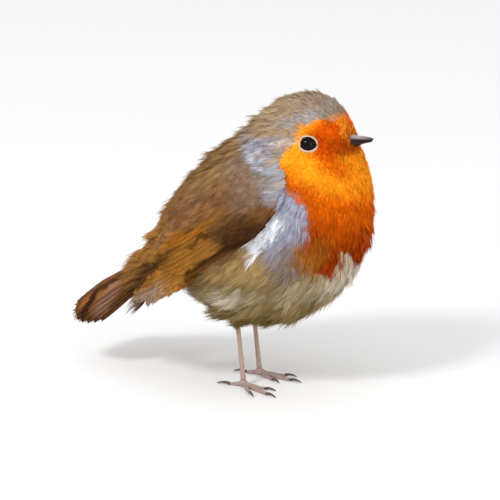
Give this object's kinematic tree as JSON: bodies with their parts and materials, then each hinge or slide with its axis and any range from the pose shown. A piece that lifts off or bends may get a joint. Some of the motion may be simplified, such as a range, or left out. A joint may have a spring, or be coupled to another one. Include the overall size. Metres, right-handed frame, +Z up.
{
  "type": "robin",
  "caption": "Still, life-size model of a small round-bodied songbird with an orange face and breast, standing on two thin legs with folded wings and a low-held tail",
  "frame": {"origin": "middle of the bounding box at floor level, under the bird", "axes": "+X the way the bird faces, +Y its left, +Z up"},
  "size_m": [0.113, 0.0612, 0.1052],
  "materials": {
    "upper_plumage": "soft grey-brown feathers",
    "orange_plumage": "soft orange feathers",
    "under_plumage": "soft buff and olive-grey feathers",
    "wing_feathers": "firm brown feathers with ochre edges",
    "tail_feathers": "firm rufous-brown feathers",
    "bill": "smooth dark horn",
    "eye": "wet glossy black",
    "leg_skin": "fine scaled skin, pinkish brown",
    "claw": "smooth dark horn"
  },
  "bodies": {
    "root": {"head": "upper_plumage", "face": "orange_plumage", "neck": "upper_plumage", "breast": "orange_plumage", "torso": "under_plumage", "bill_upper": "bill", "bill_lower": "bill", "tail": "tail_feathers", "eye_right": "eye", "wing_right": "wing_feathers", "thigh_right": "under_plumage", "tarsus_right": "leg_skin", "foot_right": "leg_skin", "claw_right_hind": "claw", "claw_right_inner": "claw", "claw_right_middle": "claw", "claw_right_outer": "claw", "eye_left": "eye", "wing_left": "wing_feathers", "thigh_left": "under_plumage", "tarsus_left": "leg_skin", "foot_left": "leg_skin", "claw_left_hind": "claw", "claw_left_inner": "claw", "claw_left_middle": "claw", "claw_left_outer": "claw"}
  },
  "joints": []
}
